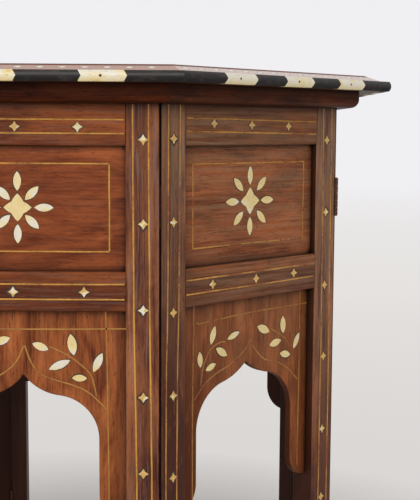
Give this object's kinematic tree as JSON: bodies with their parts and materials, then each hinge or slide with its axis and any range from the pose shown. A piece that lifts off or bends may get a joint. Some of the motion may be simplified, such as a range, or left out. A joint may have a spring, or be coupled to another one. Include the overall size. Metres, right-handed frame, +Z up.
{
  "type": "folding inlaid table",
  "caption": "Octagonal side table: a loose top with a bone and ebony edge on a folding base of hinged arched panels inlaid with bone.",
  "frame": {"origin": "on the floor, on the vertical axis of the octagon", "axes": "+Z up along the axis of the octagon, -Y out of side 1, +X to the right of side 1 seen from outside"},
  "size_m": [0.5388, 0.5388, 0.5279],
  "materials": {
    "frame_wood": "satin varnish",
    "board_wood": "satin varnish",
    "moulding_wood": "satin varnish",
    "top_wood": "satin varnish",
    "bone": "polished bone",
    "ebony": "polished",
    "hinge_iron": "browned iron"
  },
  "bodies": {
    "side_1": {"side_1_stiles": "frame_wood", "side_1_rails": "frame_wood", "side_1_upper_board": "board_wood", "side_1_arch_board": "board_wood", "side_1_bone_inlay": "bone", "side_1_hinges": "hinge_iron"},
    "side_2": {"side_2_stiles": "frame_wood", "side_2_rails": "frame_wood", "side_2_upper_board": "board_wood", "side_2_arch_board": "board_wood", "side_2_bone_inlay": "bone", "side_2_hinges": "hinge_iron"},
    "side_3": {"side_3_stiles": "frame_wood", "side_3_rails": "frame_wood", "side_3_upper_board": "board_wood", "side_3_arch_board": "board_wood", "side_3_bone_inlay": "bone", "side_3_hinges": "hinge_iron"},
    "side_4": {"side_4_stiles": "frame_wood", "side_4_rails": "frame_wood", "side_4_upper_board": "board_wood", "side_4_arch_board": "board_wood", "side_4_bone_inlay": "bone", "side_4_hinges": "hinge_iron"},
    "side_5": {"side_5_stiles": "frame_wood", "side_5_rails": "frame_wood", "side_5_upper_board": "board_wood", "side_5_arch_board": "board_wood", "side_5_bone_inlay": "bone", "side_5_hinges": "hinge_iron"},
    "side_6": {"side_6_stiles": "frame_wood", "side_6_rails": "frame_wood", "side_6_upper_board": "board_wood", "side_6_arch_board": "board_wood", "side_6_bone_inlay": "bone", "side_6_hinges": "hinge_iron"},
    "side_7": {"side_7_stiles": "frame_wood", "side_7_rails": "frame_wood", "side_7_upper_board": "board_wood", "side_7_arch_board": "board_wood", "side_7_bone_inlay": "bone", "side_7_hinges": "hinge_iron"},
    "side_8": {"side_8_stiles": "frame_wood", "side_8_rails": "frame_wood", "side_8_upper_board": "board_wood", "side_8_arch_board": "board_wood", "side_8_bone_inlay": "bone", "side_8_hinges": "hinge_iron"},
    "top": {"top_planks": "top_wood", "top_moulding": "moulding_wood", "top_battens": "top_wood", "batten_screws": "hinge_iron", "edge_bone_blocks": "bone", "edge_ebony_blocks": "ebony", "edge_nails": "hinge_iron", "top_bone_inlay": "bone"}
  },
  "joints": [
    {"name": "fold_1_2", "type": "hinge", "parent": "side_1", "child": "side_2", "pos_m": [0.08818, -0.21289, 0], "axis": [0, 0, 1], "range_deg": [0, 134]},
    {"name": "fold_2_3", "type": "hinge", "parent": "side_2", "child": "side_3", "pos_m": [0.22981, -0.09519, 0], "axis": [0, 0, 1], "range_deg": [-134, 0]},
    {"name": "fold_3_4", "type": "hinge", "parent": "side_3", "child": "side_4", "pos_m": [0.21289, 0.08818, 0], "axis": [0, 0, 1], "range_deg": [0, 134]},
    {"name": "fold_4_5", "type": "hinge", "parent": "side_4", "child": "side_5", "pos_m": [0.09519, 0.22981, 0], "axis": [0, 0, 1], "range_deg": [-134, 0]},
    {"name": "fold_8_1", "type": "hinge", "parent": "side_1", "child": "side_8", "pos_m": [-0.09519, -0.22981, 0], "axis": [0, 0, 1], "range_deg": [0, 134]},
    {"name": "fold_7_8", "type": "hinge", "parent": "side_8", "child": "side_7", "pos_m": [-0.21289, -0.08818, 0], "axis": [0, 0, 1], "range_deg": [-134, 0]},
    {"name": "fold_6_7", "type": "hinge", "parent": "side_7", "child": "side_6", "pos_m": [-0.22981, 0.09519, 0], "axis": [0, 0, 1], "range_deg": [0, 134]},
    {"name": "top_lift", "type": "slide", "parent": "side_1", "child": "top", "axis": [0, 0, 1], "range_m": [0, 0.12]}
  ],
  "couplings": [
    {"joint": "fold_2_3", "follows": "fold_1_2", "ratio": -1},
    {"joint": "fold_3_4", "follows": "fold_1_2", "ratio": 1},
    {"joint": "fold_4_5", "follows": "fold_1_2", "ratio": -1},
    {"joint": "fold_8_1", "follows": "fold_1_2", "ratio": 1},
    {"joint": "fold_7_8", "follows": "fold_1_2", "ratio": -1},
    {"joint": "fold_6_7", "follows": "fold_1_2", "ratio": 1}
  ]
}
